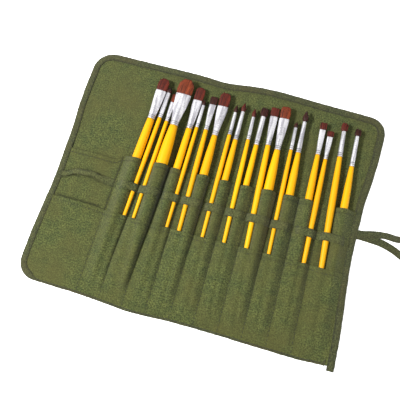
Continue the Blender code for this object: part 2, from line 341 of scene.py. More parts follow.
class Cloth:
    """Heights of the layers over the table, in millimetres."""

    def __init__(self, layout):
        self.layout = layout

    def span(self, k, y):
        left = self.layout.seam(k - 1, y) if k > 0 else edge_left(y) + BIND_WIDTH
        right = self.layout.seam(k, y) if k < SEAMS else edge_right(y) - BIND_WIDTH
        return left, right

    def brushes(self, k):
        upper = next((b for b in self.layout.columns[k] if b.upper), None)
        lower = next((b for b in self.layout.columns[k] if not b.upper), None)
        return upper, lower

    def panel(self, x, y):
        ripple = 0.12 * wobble(x, y, 34, 1.5) + 0.05 * wobble(x, y, 11, 7.5)
        return PANEL_TOP + ripple

    def upper(self, x, y, k, left, right):
        crease = 0.16 * wobble(x, y * 0.45, 9, 3.0) + 0.1 * wobble(x, y, 22, 5.0)
        if k == 0:
            gape = 1.9 * smooth((y - 2) / 14) * arch(x, left, right)
            return UPPER_BASE + crease + gape
        thick, thin = self.brushes(k)
        over = disc(thick, y, HUG, UPPER_BASE)
        near = disc(thin, y, 0.3, UPPER_BASE)
        near = near if y < 40 else None
        height = bump(x, [over] if over else [], left, right, UPPER_BASE, 7.0, near)
        return UPPER_BASE + height + crease * slack(x, left, right)

    def lower(self, x, y, k, left, right):
        crease = 0.22 * wobble(x, y * 0.5, 8, 11.0) + 0.12 * wobble(x, y, 20, 13.0)
        if k == 0:
            gape = 2.9 * smooth((y + 54) / 16) * arch(x, left, right)
            return LOWER_BASE + crease + gape
        thick, thin = self.brushes(k)
        a = disc(thick, y, HUG + CLOTH + 0.3, LOWER_BASE)
        b = disc(thin, y, HUG, LOWER_BASE)
        height = bump(x, between(a, b, 0.7), left, right, LOWER_BASE, 8.0)
        return LOWER_BASE + height + crease * slack(x, left, right)

    def band(self, x, y, k, left, right):
        if k == 0:
            return BAND_BASE + BAND_LIFT * arch(x, left, right)
        thick, thin = self.brushes(k)
        a = disc(thick, y, HUG + CLOTH + 0.3, BAND_BASE)
        b = disc(thin, y, HUG, BAND_BASE)
        return BAND_BASE + bump(x, between(a, b, 0.3), left, right, BAND_BASE, 3.0)


def mouth_at(x, heights):
    """A layer's top edge: its height at the wide pocket, rising along the columns."""
    wide, start, end = heights
    return mix(wide, mix(start, end, smooth((x + 40) / 180)), smooth((x + 99) / 9))


def nominal_x(k, share):
    """The x that a share of column k's width has on straight, evenly spaced seams."""
    left = FIRST_SEAM + SEAM_STEP * (k - 1) if k else -146.0
    right = FIRST_SEAM + SEAM_STEP * k if k < SEAMS else 145.0
    return mix(left, right, share)


def mouth_line(k, share, mouths):
    """A layer's mouth, which sags a little between two seams."""
    return mouth_at(nominal_x(k, share), mouths) - 0.8 * math.sin(math.pi * share) ** 2 * (k > 0)


# ---------------------------------------------------------------- sheets


def flat_uvs(mesh, places, wear=None):
    """Stores each point's place, in tenths of a metre, that patterns follow, and how much it is darkened by
    soil and painted shade.
    """
    layer = mesh.uv_layers.new(name="flat")
    for loop in mesh.loops:
        x, y = places[loop.vertex_index]
        layer.data[loop.index].uv = (x / 100, y / 100)
    if wear:
        layer = mesh.uv_layers.new(name="wear")
        for loop in mesh.loops:
            layer.data[loop.index].uv = (wear[loop.vertex_index], 0.5)


def thick_sheet(name, grid, thickness, material):
    """A sheet with two faces and closed rims, from a grid of points in millimetres: x, y, z and its
    darkening by soil and painted shade.
    """
    work = bmesh.new()
    verts = [[work.verts.new(Vector(p[:3]) * MM) for p in row] for row in grid]
    for low, high in zip(verts, verts[1:]):
        for a, b, c, d in zip(low, low[1:], high[1:], high):
            work.faces.new((a, b, c, d))
    mesh = bpy.data.meshes.new(name)
    work.to_mesh(mesh)
    work.free()
    flat_uvs(mesh, [p[:2] for row in grid for p in row], [p[3] for row in grid for p in row])
    sheet = new_object(name, mesh, material)
    solid = sheet.modifiers.new("thickness", "SOLIDIFY")
    solid.thickness = thickness * MM
    solid.offset = 1.0
    return sheet


def evaluated_mesh(thing):
    bpy.context.view_layer.update()
    graph = bpy.context.evaluated_depsgraph_get()
    return bpy.data.meshes.new_from_object(thing.evaluated_get(graph))


def cap_faces(corners, half):
    """Faces that close a cut: quads between a sheet's two sides, or one face round each open loop."""
    edges = [(a, b) for face in corners for a, b in zip(face, face[1:] + face[:1])]
    paired = set(edges)
    rim = [(a, b) for a, b in edges if (b, a) not in paired]
    if half:
        return [[b, a, a + half, b + half] for a, b in rim if a < half and b < half]
    following = {b: a for a, b in rim}
    faces = []
    while following:
        start, here = following.popitem()
        loop = [start]
        while here != start and here in following:
            loop.append(here)
            here = following.pop(here)
        faces.append(loop)
    return [loop for loop in faces if len(loop) > 2]


def split_at_folds(sheet, folds, two_sided=True):
    """Cuts a full-width piece halfway between folds, into one part for each fold.

    Every part keeps the whole piece's shading, so that the cuts don't show.
    """
    whole = evaluated_mesh(sheet)
    whole.set_sharp_from_angle(angle=math.radians(SHARP))
    whole.update()
    normals = [Vector(n.vector) for n in whole.corner_normals]
    uvs = {layer.name: [Vector(u.uv) for u in layer.data] for layer in whole.uv_layers}
    half = len(whole.vertices) // 2 if two_sided else 0
    cuts = [999.0] + [(a + b) / 2 for a, b in zip(folds, folds[1:])] + [-999.0]
    groups = [[] for _ in folds]
    for face in whole.polygons:
        under = [whole.vertices[v % half if half else v].co.x for v in face.vertices]
        x = sum(under) / len(under) / MM
        for number, (right, left) in enumerate(zip(cuts, cuts[1:])):
            if left < x <= right:
                groups[number].append(face)
    pieces = []
    for number, faces in enumerate(groups):
        if not faces:
            continue
        corners = [list(face.vertices) for face in faces]
        caps = cap_faces(corners, half)
        used = sorted({v for face in corners + caps for v in face})
        index = {v: i for i, v in enumerate(used)}
        mesh = bpy.data.meshes.new(f"{sheet.name}_{number:02d}")
        shape = [[index[v] for v in face] for face in corners + caps]
        mesh.from_pydata([whole.vertices[v].co for v in used], [], shape)
        mesh.materials.append(whole.materials[0])
        mesh.shade_smooth()
        loops = [c for face in faces for c in face.loop_indices]
        shading = [normals[c] for c in loops]
        for polygon in list(mesh.polygons)[len(faces) :]:
            shading += [Vector(polygon.normal)] * len(polygon.vertices)
        for name, values in uvs.items():
            layer = mesh.uv_layers.new(name=name)
            for here, there in zip(layer.data, loops):
                here.uv = values[there]
        mesh.normals_split_custom_set(shading)
        piece = new_object(mesh.name, mesh)
        x = folds[number] * MM
        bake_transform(piece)
        pieces.append(piece)
    bpy.data.objects.remove(sheet)
    return pieces


def stand_in(panels, uppers, lowers, bands):
    """Hides the CAD solids that the pieces replace. The far end's pieces replace the ones left over."""
    for number, (panel, upper, lower, band) in enumerate(zip(panels, uppers, lowers, bands)):
        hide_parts(f"panel_{number:02d}")
        if number < 10:
            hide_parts(f"upper_pocket_{10 - number:02d}")
            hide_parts(f"lower_pocket_{10 - number:02d}")
        else:
            for piece, name in ((upper, "wide_upper"), (lower, "wide_lower"), (band, "band_free")):
                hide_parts(f"{name}_0", f"{name}_1")
    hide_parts(f"panel_{len(panels):02d}")


# ---------------------------------------------------------------- materials

WEAVE = 85.0  # how fine the cloth's threads are, as a scale on its flat coordinates


class Nodes:
    """A short way to wire one material's nodes."""

    def __init__(self, name):
        self.material = bpy.data.materials.new(name)
        self.material.use_nodes = True
        self.tree = self.material.node_tree
        self.shader = self.tree.nodes["Principled BSDF"]

    def add(self, kind, **values):
        node = self.tree.nodes.new(kind)
        for key, value in values.items():
            if key in node.inputs:
                node.inputs[key].default_value = value
            else:
                setattr(node, key, value)
        return node

    def link(self, start, end):
        self.tree.links.new(start, end)

    def ramp(self, source, stops):
        ramp = self.add("ShaderNodeValToRGB")
        while len(ramp.color_ramp.elements) < len(stops):
            ramp.color_ramp.elements.new(0.5)
        for element, (place, colour) in zip(ramp.color_ramp.elements, stops):
            element.position = place
            element.color = (*colour, 1.0)
        self.link(source, ramp.inputs["Fac"])
        return ramp.outputs["Color"]

    def blend(self, kind, amount, first, second):
        node = self.add("ShaderNodeMix", data_type="RGBA", blend_type=kind)
        self.feed([node.inputs[i] for i in (0, 6, 7)], (amount, first, second))
        return node.outputs[2]

    def maths(self, operation, first, second):
        node = self.add("ShaderNodeMath", operation=operation)
        self.feed(node.inputs, (first, second))
        return node.outputs[0]

    def feed(self, sockets, values):
        """Links each value that is another node's output, and sets each one that isn't."""
        for socket, value in zip(sockets, values):
            if hasattr(value, "links"):
                self.link(value, socket)
            else:
                socket.default_value = value

    def coords(self, uv_map=None):
        """Coordinates from one of the piece's UV maps, or else its place in the frame."""
        if uv_map:
            return self.add("ShaderNodeUVMap", uv_map=uv_map).outputs["UV"]
        return self.add("ShaderNodeTexCoord").outputs["Object"]

    def first_axis(self, uv_map):
        split = self.add("ShaderNodeSeparateXYZ")
        self.link(self.coords(uv_map), split.inputs[0])
        return split.outputs["X"]

    def noise(self, coords, scale, detail, **values):
        node = self.add("ShaderNodeTexNoise", Scale=scale, Detail=detail, **values)
        self.link(coords, node.inputs["Vector"])
        return node.outputs["Fac"]

    def wave(self, coords, direction, scale, **values):
        node = self.add("ShaderNodeTexWave", bands_direction=direction, Scale=scale, **values)
        self.link(coords, node.inputs["Vector"])
        return node.outputs["Fac"]

    def stretched(self, coords, scale):
        """Coordinates scaled by axis, which draws a pattern out along the smallest."""
        node = self.add("ShaderNodeMapping")
        node.inputs["Scale"].default_value = scale
        self.link(coords, node.inputs["Vector"])
        return node.outputs["Vector"]

    def bump(self, height, strength, distance):
        node = self.add("ShaderNodeBump", Strength=strength, Distance=distance)
        self.link(height, node.inputs["Height"])
        self.link(node.outputs["Normal"], self.shader.inputs["Normal"])

    def settle(self, values):
        """Sets the shader's own sockets, and links the ones whose value is another node's output."""
        self.feed([self.shader.inputs[name] for name in values], values.values())
        return self.material


def grey(value):
    return (value, value, value)


def canvas_material(name, colour, worn=0.6):
    """Woven cotton: two sets of threads, mottled dye, faded patches and a dusty sheen."""
    n = Nodes(name)
    coords = n.coords("flat")
    warp, weft = (n.wave(coords, way, WEAVE, Distortion=1.6, Detail=2.0) for way in "XY")
    slub = n.noise(coords, 70.0, 4.0, Roughness=0.75)
    patch = n.noise(coords, 13.0, 4.0, Roughness=0.6)
    fade = n.noise(coords, 2.2, 3.0, Roughness=0.55)
    dark = tuple(c * 0.36 for c in colour)
    pale = tuple(min(1.0, c * 1.75 + 0.008) for c in colour)
    brown = (colour[0] * 1.22, colour[1] * 0.94, colour[2] * 0.86, 1.0)
    base = n.ramp(slub, [(0.38, dark), (0.5, colour), (0.62, pale)])
    patches = n.ramp(patch, [(0.36, (0.74, 0.8, 0.76)), (0.64, (1.2, 1.15, 1.06))])
    base = n.blend("MULTIPLY", 0.9, base, patches)
    base = n.blend("MIX", n.ramp(fade, [(0.42, grey(0)), (0.68, grey(worn))]), base, brown)
    threads = n.maths("MULTIPLY", warp, weft)
    shade = n.ramp(threads, [(0.0, (0.62, 0.62, 0.6)), (0.6, grey(1.12))])
    base = n.blend("MULTIPLY", 1.0, base, shade)
    # Darkening from the second UV map: soiling, and painted shade and shadow along seams, hems, mouths, the
    # binding's edges and the band's edges.
    soil_and_shade_tones = [(0.0, grey(1)), (0.5, (0.72, 0.71, 0.67)), (1.0, (0.45, 0.44, 0.39))]
    base = n.blend("MULTIPLY", 1.0, base, n.ramp(n.first_axis("wear"), soil_and_shade_tones))
    n.bump(n.maths("ADD", threads, n.maths("MULTIPLY", slub, 1.4)), 0.55, 0.00035)
    cotton = {"Roughness": 0.93, "Specular IOR Level": 0.18, "Sheen Weight": 0.12, "Sheen Roughness": 0.6}
    return n.settle({"Base Color": base, **cotton})


def thread_material():
    n = Nodes("thread")
    twist = n.wave(n.coords(), "DIAGONAL", 900.0, Distortion=0.5)
    colour = n.ramp(twist, [(0.2, (0.018, 0.021, 0.008)), (0.8, (0.042, 0.046, 0.018))])
    return n.settle({"Base Color": colour, "Roughness": 0.8})


def lacquer_material():
    """Yellow lacquer over wood: glossy, with faint orange variation and fine scratches."""
    n = Nodes("brush_lacquer")
    lengthwise = n.stretched(n.coords(), (1.0, 0.12, 1.0))
    tone = n.noise(lengthwise, 60.0, 3.0)
    scratch = n.noise(lengthwise, 1500.0, 2.0)
    tones = [(0.3, (0.74, 0.34, 0.001)), (0.6, (0.8, 0.4, 0.001)), (0.8, (0.86, 0.45, 0.001))]
    rough = n.ramp(scratch, [(0.4, grey(0.38)), (0.75, grey(0.55))])
    n.bump(scratch, 0.12, 0.0001)
    gloss = {"Specular IOR Level": 0.2, "Coat Weight": 0.05, "Coat Roughness": 0.2}
    return n.settle({"Base Color": n.ramp(tone, tones), "Roughness": rough, **gloss})


def metal_material():
    """Nickel-plated tin: brushed round the ferrule, smudged along it with dark streaks that are also
    painted reflection, and dark in the crimps from grime and painted shade.
    """
    n = Nodes("ferrule_metal")
    coords = n.coords()
    brushed = n.noise(n.stretched(coords, (0.15, 1.0, 0.15)), 1800.0, 3.0)
    # The lengthwise smudges double as painted dark reflection streaks.
    smudge_and_reflection = n.noise(n.stretched(coords, (1.0, 0.12, 1.0)), 420.0, 2.0)
    colour = n.ramp(smudge_and_reflection, [(0.4, (0.5, 0.49, 0.53)), (0.54, (0.86, 0.85, 0.88))])
    # Dark rings at the ferrule's lower edge and in the crimps: grime, and painted shade in the hollows.
    clean, grimy_and_shaded = grey(1), (0.12, 0.11, 0.13)
    crimp_grime_and_shade = [(0.0, grimy_and_shaded), (0.006, clean), (0.017, clean), (0.022, grimy_and_shaded), (0.027, clean)]
    crimp_grime_and_shade += [(0.034, clean), (0.039, grimy_and_shaded), (0.044, clean)]
    colour = n.blend("MULTIPLY", 1.0, colour, n.ramp(n.first_axis("flat"), crimp_grime_and_shade))
    rough = n.ramp(brushed, [(0.35, grey(0.26)), (0.7, grey(0.4))])
    return n.settle({"Base Color": colour, "Roughness": rough, "Metallic": 0.62})


def hair_material(name, deep, warm):
    """Red-brown hair: dark and fine along its length, a little brighter where it spreads."""
    n = Nodes(name)
    lengthwise = n.stretched(n.coords("flat"), (1.0, 0.035, 1.0))
    strand = n.noise(lengthwise, 24.0, 5.0, Roughness=0.8)
    clump = n.noise(lengthwise, 7.0, 3.0)
    bright = tuple(c * 1.9 for c in warm)
    colour = n.ramp(strand, [(0.4, deep), (0.53, warm), (0.68, bright)])
    shade = n.ramp(clump, [(0.4, (0.5, 0.46, 0.46)), (0.62, (1.2, 1.15, 1.1))])
    n.bump(strand, 0.7, 0.0003)
    colour = n.blend("MULTIPLY", 0.8, colour, shade)
    return n.settle({"Base Color": colour, "Roughness": 0.6, "Specular IOR Level": 0.25})


# ---------------------------------------------------------------- canvas pieces

HALF_HEIGHT = 124.0
CORNERS = (21.0, 18.0, 19.0)  # top left, top right and bottom left
BIND_FOOT = 2.3  # how much of the binding shows along the foot
OUTLINE_STEP = 1.1


def corner_drop(distance, radius):
    """How far a round corner falls back from a straight edge, at that distance from its end."""
    if distance >= radius:
        return 0.0
    return radius - math.sqrt(max(0.0, radius * radius - (radius - distance) ** 2))


def near_line(distance, width):
    """1 on a line, falling to 0 a width or two away from it."""
    return math.exp(-((distance / width) ** 2))


def end_spacing(u):
    """Spreads columns across the roll, closer together in the rounded corners."""
    if u < 0.1:
        return 0.075 * (u / 0.1) ** 1.7
    if u > 0.9:
        return 1 - 0.075 * ((1 - u) / 0.1) ** 1.7
    return 0.075 + (u - 0.1) / 0.8 * 0.85


def outline_point(u, v, inset=0.8):
    """A point of the panel mapped from a unit square. Its edge is inset, to lie inside the binding."""
    y = mix(-HALF_HEIGHT, HALF_HEIGHT, v)
    left, right = edge_left(y) + inset, edge_right(y) - inset
    x = mix(left, right, end_spacing(u))
    top = edge_top(x) - inset - corner_drop(x - left, CORNERS[0]) - corner_drop(right - x, CORNERS[1])
    foot = edge_foot(x) + inset + corner_drop(x - left, CORNERS[2])
    return x, mix(foot, top, v)


def build_panel(cloth, material):
    columns, rows = 150, 110
    grid = []
    for j in range(rows + 1):
        row = []
        for i in range(columns + 1):
            x, y = outline_point(i / columns, j / rows)
            inner = min(x - edge_left(y), edge_right(y) - x, edge_top(x) - y) - BIND_WIDTH
            # The fourth value paints shadow on the panel just inside the binding's inner edge.
            row.append((x, y, cloth.panel(x, y) - PANEL_TOP + PANEL_LOW, 0.45 * near_line(inner, 0.8)))
        grid.append(row)
    return thick_sheet("canvas_panel", grid, PANEL_TOP - PANEL_LOW, material)


def across_roll(ends, middle):
    """Places across the roll, as a column and a share of its width."""
    places = []
    for k in range(SEAMS + 1):
        count = middle if 0 < k < SEAMS else ends
        places += [(k, i / count) for i in range(count)]
    return places + [(SEAMS, 1.0)]


def tucked_span(cloth, k, y, overlap=1.3):
    """A column's span, with its outer side tucked under the binding."""
    left, right = cloth.span(k, y)
    return left - overlap * (k == 0), right + overlap * (k == SEAMS)


def foot_line(cloth, k, share):
    """The y where a pocket layer ends inside the binding at the foot."""
    left, right = tucked_span(cloth, k, FOOT)
    x = mix(left, right, share)
    return edge_foot(x) + 1.2 + corner_drop(x - edge_left(FOOT), CORNERS[2])


BAND_LINE = [(-150, -15.6), (-144, -14.2), (-130, -8.9), (-116, -7.8), (-102, -9.9)]
BAND_LINE += [(-88, -10.2), (-60, -9.4), (60, -8.4), (150, -7.0)]


def band_line(x):
    """The band's centre y at x: an arch over the wide pocket, then nearly straight."""
    for (a, ya), (b, yb) in zip(BAND_LINE, BAND_LINE[1:]):
        if x <= b:
            return mix(ya, yb, smooth((x - a) / (b - a)))
    return BAND_LINE[-1][1]


def wide_pocket_shadow(nominal, y):
    """Painted shadow on the wide pocket's upper layer, beside the free band and above the lower mouth."""
    wide = smooth((FIRST_SEAM - 3 - nominal) / 4)
    beside = 0.85 * near_line(abs(y - band_line(nominal)) - 3.4, 1.1)
    above = near_line(y - mouth_at(nominal, LOWER_MOUTH) - 1.2, 1.2)
    return wide * max(beside, above)


def build_layer(cloth, name, height, mouths, rows, material, seam_soil_and_shade):
    """One pocket layer across the whole roll, from its foot to its hemmed mouth."""
    grid = []
    places = across_roll(26, 20)
    for j in range(rows + 1):
        row = []
        for k, share in places:
            foot = foot_line(cloth, k, share)
            mouth = mouth_line(k, share, mouths)
            y = mix(foot, mouth, 1 - (1 - j / rows) ** 1.25)
            left, right = tucked_span(cloth, k, y)
            x = mix(left, right, share)
            z = height(x, y, k, left, right) + 0.25 * smooth((y - mouth + HEM) / 0.9)
            # Darker along the seams and the hem's stitch line: soiling, and painted shade in the seams' and
            # hem's folds.
            seam = seam_soil_and_shade * near_line(min(x - left, right - x), 0.95)
            seam *= 0.35 + 0.65 * smooth((y - foot - 4) / 14)
            stitched = 0.55 * near_line(y - mouth + HEM, 0.7)
            # A painted shade line along each layer's mouth, darkest at the wide pocket, and painted shadow
            # beside the free band and above the lower mouth.
            rim = (1.0 if k == 0 else 0.45) * near_line(y - mouth, 0.6)
            mark = wide_pocket_shadow(nominal_x(k, share), y) if mouths is UPPER_MOUTH else 0.0
            row.append((x, y, z, max(seam, stitched, rim, mark)))
        grid.append(row)
    return thick_sheet(name, grid, CLOTH, material)


def build_band(cloth, material):
    grid = []
    for j in range(7):
        across = j / 6 - 0.5
        row = []
        for k, share in across_roll(30, 22):
            nominal = nominal_x(k, share)
            free = smooth((-98 - nominal) / 10)
            width = BAND_WIDTH - 2.6 * free + 0.5 * wobble(nominal, 0, 13, 2.0)
            y = band_line(nominal) + across * width + 0.35 * wobble(nominal, 5, 9, 6.0)
            left, right = tucked_span(cloth, k, y)
            x = mix(left, right, share)
            z = cloth.band(x, y, k, left, right) - 0.3 * (2 * across) ** 4
            # Painted shade along the band's edges, strongest where it stands free over the wide pocket, and
            # soil and painted shade at the seams.
            edge = (0.55 + 0.45 * free) * abs(2 * across) ** 3
            row.append((x, y, z, max(edge, near_line(min(x - left, right - x), 0.8))))
        grid.append(row)
    return thick_sheet("loop_band", grid, 0.75, material)


# ---------------------------------------------------------------- binding and stitches


def arc_points(cx, cy, radius, start, end, steps=14):
    turns = [math.radians(mix(start, end, i / steps)) for i in range(steps + 1)]
    return [(cx + radius * math.cos(a), cy + radius * math.sin(a)) for a in turns]


def outline_path():
    """The roll's edge from past the foot at the tie end, round by the top to the foot again."""
    right, left = edge_right(100), edge_left(100)
    top_left, top_right, foot_left = CORNERS
    high_right, high_left = edge_top(right - top_right), edge_top(left + top_left)
    rising = range(-126, int(high_right - top_right), 4)
    points = [(edge_right(y) + 0.5 * smooth((-116 - y) / 8), y) for y in rising]
    points += arc_points(right - top_right, high_right - top_right, top_right, 0, 90)
    points += [(x, edge_top(x)) for x in range(int(right - top_right) - 4, int(left + top_left), -4)]
    points += arc_points(left + top_left, high_left - top_left, top_left, 90, 180)
    points += [(edge_left(y), y) for y in range(int(high_left - top_left) - 4, -102, -4)]
    low_left, low = edge_left(-106), edge_foot(edge_left(-106) + foot_left)
    points += arc_points(low_left + foot_left, low + foot_left, foot_left, 180, 270)
    points += [(x, edge_foot(x)) for x in range(int(low_left + foot_left) + 4, 153, 4)]
    return points


def even_path(points, step):
    """Points every step along a path, each with its distance and its inward normal (on the left)."""
    found = []
    travelled, wanted = 0.0, 0.0
    for (ax, ay), (bx, by) in zip(points, points[1:]):
        length = math.hypot(bx - ax, by - ay)
        while wanted <= travelled + length:
            t = (wanted - travelled) / length
            found.append((mix(ax, bx, t), mix(ay, by, t)))
            wanted += step
        travelled += length
    normals = []
    for i in range(len(found)):
        a, b = found[max(i - 2, 0)], found[min(i + 2, len(found) - 1)]
        length = math.hypot(b[0] - a[0], b[1] - a[1])
        normals.append((-(b[1] - a[1]) / length, (b[0] - a[0]) / length))
    return [(i * step, p, n) for i, (p, n) in enumerate(zip(found, normals))]


def on_foot(x, y):
    """1 along the foot, where the binding is mostly turned under, and 0 elsewhere."""
    return smooth((-117.0 - y) / 6) * smooth((x + 146) / 12) * smooth((149 - x) / 2)


def cloth_under_binding(y):
    """How high the layers stand that the binding's inner edge is sewn down on."""
    return 1.3 + 0.55 * smooth((24 - y) / 5) + 0.95 * smooth((-34 - y) / 6)


def binding_profile(width, base, top):
    """The folded tape across its width: distance inward and height, from its inner edge round."""
    half = top * 0.5
    upper = [(width, base), (width - 0.1, base + 0.5), (width - 0.5, base + 0.7)]
    upper += [(width - 1.3, base + 0.5), (width - 2.0, base + 0.74)] if width > 4 else []
    upper += [(mix(0.9, width, 0.55), top), (0.9, top * 0.97), (0.25, top * 0.8), (0.0, half)]
    return upper + [(0.2, top * 0.2), (0.9, 0.04), (width * 0.5, 0.0), (width - 0.5, 0.0), (width, 0.12)]


def build_binding(material):
    work = bmesh.new()
    rings, places, wear = [], [], []
    for s, (x, y), (nx, ny) in even_path(outline_path(), OUTLINE_STEP):
        foot = on_foot(x, y)
        width = mix(BIND_WIDTH, BIND_FOOT, foot) + 0.25 * wobble(s, 0, 17, 1.0)
        base = cloth_under_binding(y)
        top = base + 0.8 + 0.14 * wobble(s, 0, 2.6, 4.0) + 0.1 * wobble(s, 9, 7, 8.0)
        out = 0.28 * wobble(s, 3, 4.2, 9.0) + 0.2 * wobble(s, 3, 15, 3.0)
        profile = binding_profile(BIND_WIDTH, base, top)
        ring = []
        for d, z in profile:
            d = d * width / BIND_WIDTH - out * (1 - d / BIND_WIDTH)
            ring.append(work.verts.new(Vector((x + nx * d, y + ny * d, z)) * MM))
            places.append((s, d + z))
            # Painted shade along the binding's inner edge, where it steps down onto the canvas.
            wear.append(near_line(d - width, 0.6))
        rings.append(ring)
    loft(work, rings)
    thing = finish_mesh(work, "binding", material)
    flat_uvs(thing.data, places, wear)
    return thing


def add_stitch(work, start, end):
    """One stitch of thread: a small bar that dips into the cloth at both ends."""
    a, b = Vector(start), Vector(end)
    side = (b - a).normalized().cross(Vector((0, 0, 1))).normalized()
    rings = []
    for t, rise, size in STITCH_SHAPE:
        centre = a.lerp(b, t) + Vector((0, 0, rise))
        ring = []
        for i in range(6):
            angle = math.pi * i / 3
            offset = side * math.cos(angle) + Vector((0, 0, 0.8 * math.sin(angle)))
            ring.append(work.verts.new((centre + offset * THREAD / 2 * size) * MM))
        rings.append(ring)
    loft(work, rings)


def stitch_along(work, points):
    """Stitches along a line of points (x, y, z), leaving a gap after each."""
    travelled, marks = 0.0, []
    wanted = 0.5
    for a, b in zip(points, points[1:]):
        length = math.dist(a[:2], b[:2])
        while wanted <= travelled + length:
            t = (wanted - travelled) / length
            marks.append(tuple(mix(p, q, t) for p, q in zip(a, b)))
            wanted += STITCH if len(marks) % 2 else STITCH_GAP
        travelled += length
    for start, end in zip(marks[::2], marks[1::2]):
        add_stitch(work, start, end)


def build_stitches(cloth, material):
    """The thread in every seam, along the binding's inner edge and along the hems."""
    work = bmesh.new()
    for k in range(SEAMS):
        start = edge_foot(cloth.layout.seam(k, FOOT)) + 3.4
        mouth = mouth_at(nominal_x(k, 1.0), UPPER_MOUTH) - 1.0
        low_mouth = mouth_at(nominal_x(k, 1.0), LOWER_MOUTH)
        lower = [start + i * 2.0 for i in range(int((low_mouth - start) / 2) + 1)]
        upper = [low_mouth + 1.0 + i * 2.0 for i in range(int((mouth - low_mouth) / 2))]
        stitch_along(work, [(cloth.layout.seam(k, y), y, LOWER_BASE + CLOTH + 0.08) for y in lower])
        below = [y for y in upper if y < band_line(nominal_x(k, 1.0)) - 4]
        above = [y for y in upper if y > band_line(nominal_x(k, 1.0)) + 4]
        for run in (below, above):
            stitch_along(work, [(cloth.layout.seam(k, y), y, UPPER_BASE + CLOTH + 0.08) for y in run])
    groove = []
    for _, (x, y), (nx, ny) in even_path(outline_path(), OUTLINE_STEP):
        if on_foot(x, y) > 0.1:
            break
        d = BIND_WIDTH - 1.3
        groove.append((x + nx * d, y + ny * d, cloth_under_binding(y) + 0.6))
    stitch_along(work, groove)
    for height, mouths in ((cloth.upper, UPPER_MOUTH), (cloth.lower, LOWER_MOUTH)):
        line = []
        for k, share in across_roll(26, 20):
            y = mouth_line(k, share, mouths) - HEM
            left, right = cloth.span(k, y)
            x = mix(left, right, share)
            line.append((x, y, height(x, y, k, left, right) + CLOTH + 0.02))
        stitch_along(work, line)
    return finish_mesh(work, "stitches", material)


# ---------------------------------------------------------------- brushes

SIDES = 28

# each brush's hair: its shape, how round its tip is, how ragged, which colour, and how much it spreads
HAIR = {
    1: ("round", 0.3, 0.03, "red", 1.0),
    2: ("point", 1.1, 0.16, "dark", 1.12),
    3: ("flat", 0.12, 0.1, "orange", 1.1),
    4: ("round", 0.36, 0.04, "orange", 1.0),
    5: ("round", 0.22, 0.04, "red", 1.0),
    6: ("point", 1.0, 0.1, "dark", 1.12),
    7: ("flat", 0.1, 0.1, "dark", 1.1),
    8: ("round", 0.24, 0.04, "red", 1.0),
    9: ("point", 1.0, 0.12, "dark", 1.15),
    10: ("point", 1.0, 0.1, "red", 1.12),
    11: ("point", 1.0, 0.1, "red", 1.12),
    12: ("flat", 0.25, 0.2, "dark", 1.2),
    13: ("flat", 0.08, 0.07, "red", 1.05),
    14: ("round", 0.16, 0.06, "orange", 1.0),
    15: ("point", 0.9, 0.12, "dark", 1.15),
    16: ("point", 1.0, 0.14, "dark", 1.2),
    17: ("flat", 0.06, 0.09, "red", 1.15),
    18: ("flat", 0.04, 0.09, "red", 1.15),
    19: ("flat", 0.35, 0.17, "red", 1.25),
    20: ("flat", 0.4, 0.2, "dark", 1.3),
}


def ring_at(work, brush, along, section):
    """A ring of points round the brush's axis, section(angle) giving each one's place across it."""
    turns = [2 * math.pi * i / SIDES for i in range(SIDES)]
    return [work.verts.new(brush.place(along, *section(a))) for a in turns]


def oval(width, height, square=1.0):
    """A section between an ellipse (square = 1) and a rounded box (nearer 0.5)."""

    def section(a):
        return width * squared(math.cos(a), square), height * squared(math.sin(a), square)

    return section


def build_handle(brush, material):
    """The lacquered handle, with its rounded butt, running a little way up into the ferrule."""
    work = bmesh.new()
    tail = brush.radius(0.6)
    rings = []
    for along, share in ((0.0, 0.45), (0.12, 0.72), (0.4, 0.9), (0.9, 1.0)):
        rings.append(ring_at(work, brush, along, oval(tail * share, tail * share)))
    end = brush.ferrule_low[0]
    steps = 34
    for i in range(1, steps + 1):
        along = mix(0.9, end - 0.4, i / steps)
        radius = brush.radius(along)
        waver = 1 + 0.012 * wobble(along, brush.number * 7, 13, 2.0)
        rings.append(ring_at(work, brush, along, oval(radius * waver, radius * waver)))
    shoulder = brush.radius(end) * 0.9
    rings.append(ring_at(work, brush, end + 0.1, oval(shoulder, shoulder)))
    rings.append(ring_at(work, brush, end + 3, oval(shoulder * 0.9, shoulder * 0.9)))
    loft(work, rings)
    return finish_mesh(work, f"brush_{brush.number:02d}_handle", material)


def build_ferrule(brush, material):
    """The metal ferrule: round over the handle, pressed flat toward the hair, with two crimped rings."""
    work = bmesh.new()
    low, low_radius = brush.ferrule_low[0], brush.ferrule_low[1]
    high, wide, thick = brush.ferrule_top
    thick *= 0.9 if brush.flat else 1.0
    span = high - low
    rings = [ring_at(work, brush, low + 0.25, oval(low_radius * 0.93, low_radius * 0.93))]
    steps = 44
    for i in range(steps + 1):
        t = i / steps
        along = low + span * t
        spread = smooth(t * 1.02) if brush.flat else t
        width = mix(low_radius, wide, spread) + 0.12
        height = mix(low_radius, thick, smooth((t - 0.12) / 0.6) if brush.flat else t) + 0.1
        lip = 0.1 * smooth((0.05 - t) / 0.05)
        crimp = sum(math.exp(-(((along - low - place) / 0.42) ** 2)) for place in (2.2, 3.9, 5.6))
        dent = 0.18 * crimp - lip
        if brush.flat:
            dent += 0.05 * wobble(along, brush.number * 9, 9, 3.0) * t
        square = mix(1.0, 0.78, smooth((t - 0.3) / 0.5)) if brush.flat else 1.0
        rings.append(ring_at(work, brush, along, oval(width - dent, max(0.4, height - dent), square)))
    for inward, drop in ((0.22, 0.05), (0.4, 0.9)):
        rim = oval(wide + 0.12 - inward, thick + 0.1 - inward, 0.85)
        rings.append(ring_at(work, brush, high - drop, rim))
    loft(work, rings)
    thing = finish_mesh(work, f"brush_{brush.number:02d}_ferrule", material)
    spots = [v.co - brush.end for v in thing.data.vertices]
    flat_uvs(thing.data, [(p.dot(brush.axis) / MM - low, p.dot(brush.side) / MM) for p in spots])
    return thing


